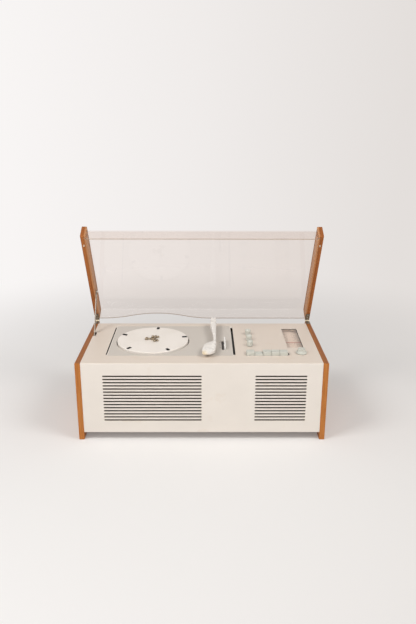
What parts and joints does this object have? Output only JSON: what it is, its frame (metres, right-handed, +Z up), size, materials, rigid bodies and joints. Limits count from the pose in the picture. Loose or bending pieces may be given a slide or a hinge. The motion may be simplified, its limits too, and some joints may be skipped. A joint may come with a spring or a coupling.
{
  "type": "radio record player",
  "caption": "Table radio and record player: slotted metal case between wooden end cheeks, with a clear hinged lid over the turntable, tonearm, keys and dial.",
  "frame": {"origin": "on the standing surface, under the middle of the opened player's box", "axes": "+X to the right along the case, +Y from front to back, +Z up"},
  "size_m": [0.584, 0.3283, 0.4761],
  "materials": {
    "cheek_wood": "oiled, satin",
    "case_paint": "satin off-white",
    "plate_paint": "satin light grey",
    "hardboard": "matt",
    "soft_wood": "raw",
    "screw_steel": "plain",
    "grille_fabric": "woven",
    "cone_paper": "matt",
    "magnet_iron": "matt",
    "clear_acrylic": "polished",
    "buffer_nylon": "pale",
    "black_rubber": "matt",
    "hinge_brass": "aged",
    "platter_paint": "satin white",
    "arm_plastic": "polished",
    "cartridge_plastic": "matt",
    "knob_plastic": "satin pale grey-green",
    "bakelite": "moulded",
    "idler_rubber": "matt",
    "dial_print": "printed",
    "pointer_red": "faded red",
    "drum_plastic": "moulded",
    "valve_glass": "silvered top"
  },
  "bodies": {
    "cabinet": {"left_cheek": "cheek_wood", "right_cheek": "cheek_wood", "cabinet_shell": "case_paint", "corner_cleats": "soft_wood", "bottom_panel": "hardboard", "rear_panel": "hardboard", "socket_strip": "bakelite", "mains_gland": "black_rubber", "grille_cloths": "grille_fabric", "speaker_board": "soft_wood", "speaker_cone": "cone_paper", "speaker_basket": "screw_steel", "speaker_magnet": "magnet_iron", "hinge_base_leaves": "hinge_brass", "turntable_plate": "plate_paint", "plate_rails": "screw_steel", "case_screws": "screw_steel", "bearing_housing": "hinge_brass", "drive_motor": "magnet_iron", "rubber_mounts": "black_rubber", "arm_pillar": "screw_steel", "arm_rest": "cartridge_plastic", "control_pots": "bakelite", "key_switch": "bakelite", "dial_frame": "cartridge_plastic", "dial_window": "clear_acrylic", "dial_bracket": "screw_steel", "dial_scale": "dial_print", "tuning_capacitor": "screw_steel", "radio_chassis": "screw_steel", "transformers": "magnet_iron", "valves": "valve_glass"},
    "lid": {"lid_left_cheek": "cheek_wood", "lid_right_cheek": "cheek_wood", "lid_cover": "clear_acrylic", "lid_buffers": "buffer_nylon", "hinge_lid_leaves": "hinge_brass", "lid_screws": "screw_steel"},
    "stay": {"lid_stay": "screw_steel"},
    "turntable": {"platter": "platter_paint", "platter_pads": "black_rubber", "single_adaptor": "hinge_brass", "spindle": "screw_steel"},
    "idler": {"idler_wheel": "idler_rubber"},
    "motor_rotor": {"motor_pulley": "screw_steel"},
    "arm_turret": {"arm_yoke": "screw_steel"},
    "pickup_arm": {"tonearm": "arm_plastic", "cartridge": "cartridge_plastic"},
    "speed_control": {"speed_lever": "arm_plastic"},
    "volume": {"volume_knob": "knob_plastic"},
    "bass": {"bass_knob": "knob_plastic"},
    "treble": {"treble_knob": "knob_plastic"},
    "tuner": {"tuning_knob": "knob_plastic"},
    "tuner_drum": {"tuning_drum": "drum_plastic"},
    "pointer": {"dial_pointer": "pointer_red"},
    "key_1": {"push_key_1": "knob_plastic"},
    "key_2": {"push_key_2": "knob_plastic"},
    "key_3": {"push_key_3": "knob_plastic"},
    "key_4": {"push_key_4": "knob_plastic"},
    "key_5": {"push_key_5": "knob_plastic"}
  },
  "joints": [
    {"name": "lid_hinge", "type": "hinge", "parent": "cabinet", "child": "lid", "pos_m": [0, 0.13275, 0.198], "axis": [-1, 0, 0], "range_deg": [-61.3, 0]},
    {"name": "stay_pivot", "type": "hinge", "parent": "lid", "child": "stay", "pos_m": [-0.2774, 0.09588, 0.29034], "axis": [1, 0, 0], "range_deg": [-28.56, 0.5]},
    {"name": "platter_spin", "type": "hinge", "parent": "cabinet", "child": "turntable", "pos_m": [-0.1225, -0.02135, 0.201], "axis": [0, 0, -1], "continuous": true},
    {"name": "idler_spin", "type": "hinge", "parent": "cabinet", "child": "idler", "pos_m": [-0.09377, 0.0284, 0.178], "axis": [0, 0, -1], "continuous": true},
    {"name": "motor_spin", "type": "hinge", "parent": "cabinet", "child": "motor_rotor", "pos_m": [-0.077, 0.01433, 0.178], "axis": [0, 0, -1], "continuous": true},
    {"name": "arm_swing", "type": "hinge", "parent": "cabinet", "child": "arm_turret", "pos_m": [0.03, 0.07085, 0.196], "axis": [0, 0, -1], "range_deg": [0, 36]},
    {"name": "arm_lift", "type": "hinge", "parent": "arm_turret", "child": "pickup_arm", "pos_m": [0.03, 0.07085, 0.21], "axis": [-1, 0, 0], "range_deg": [0, 12]},
    {"name": "speed_slide", "type": "slide", "parent": "cabinet", "child": "speed_control", "axis": [-1, 0, 0], "range_m": [0, 0.005]},
    {"name": "treble_turn", "type": "hinge", "parent": "cabinet", "child": "treble", "pos_m": [0.117, -0.05315, 0.196], "axis": [0, 0, -1], "range_deg": [-150, 150]},
    {"name": "bass_turn", "type": "hinge", "parent": "cabinet", "child": "bass", "pos_m": [0.117, -0.0139, 0.196], "axis": [0, 0, -1], "range_deg": [-150, 150]},
    {"name": "volume_turn", "type": "hinge", "parent": "cabinet", "child": "volume", "pos_m": [0.117, 0.02535, 0.196], "axis": [0, 0, -1], "range_deg": [-150, 150]},
    {"name": "tuning_turn", "type": "hinge", "parent": "cabinet", "child": "tuner", "pos_m": [0.2367, -0.10065, 0.196], "axis": [0, 0, -1], "range_deg": [-527.1, 848]},
    {"name": "pointer_slide", "type": "slide", "parent": "cabinet", "child": "pointer", "axis": [0, 1, 0], "range_m": [-0.0475, 0.0765]},
    {"name": "drum_turn", "type": "hinge", "parent": "cabinet", "child": "tuner_drum", "pos_m": [0.2275, -0.00265, 0.156], "axis": [0, 0, -1], "range_deg": [-72.09, 116.77]},
    {"name": "key_1_press", "type": "slide", "parent": "cabinet", "child": "key_1", "axis": [0, 0, -1], "range_m": [0, 0.0048], "stiffness_N_per_m": 400},
    {"name": "key_2_release", "type": "slide", "parent": "cabinet", "child": "key_2", "axis": [0, 0, 1], "range_m": [0, 0.0048]},
    {"name": "key_3_press", "type": "slide", "parent": "cabinet", "child": "key_3", "axis": [0, 0, -1], "range_m": [0, 0.0048], "stiffness_N_per_m": 400},
    {"name": "key_4_press", "type": "slide", "parent": "cabinet", "child": "key_4", "axis": [0, 0, -1], "range_m": [0, 0.0048], "stiffness_N_per_m": 400},
    {"name": "key_5_press", "type": "slide", "parent": "cabinet", "child": "key_5", "axis": [0, 0, -1], "range_m": [0, 0.0048], "stiffness_N_per_m": 400}
  ],
  "couplings": [
    {"joint": "stay_pivot", "follows": "lid_hinge", "ratio": 0.45774},
    {"joint": "idler_spin", "follows": "platter_spin", "ratio": 3.875},
    {"joint": "motor_spin", "follows": "platter_spin", "ratio": -42.004},
    {"joint": "pointer_slide", "follows": "tuning_turn", "m_per_rad": 0.005},
    {"joint": "drum_turn", "follows": "tuning_turn", "ratio": 0.13298}
  ]
}
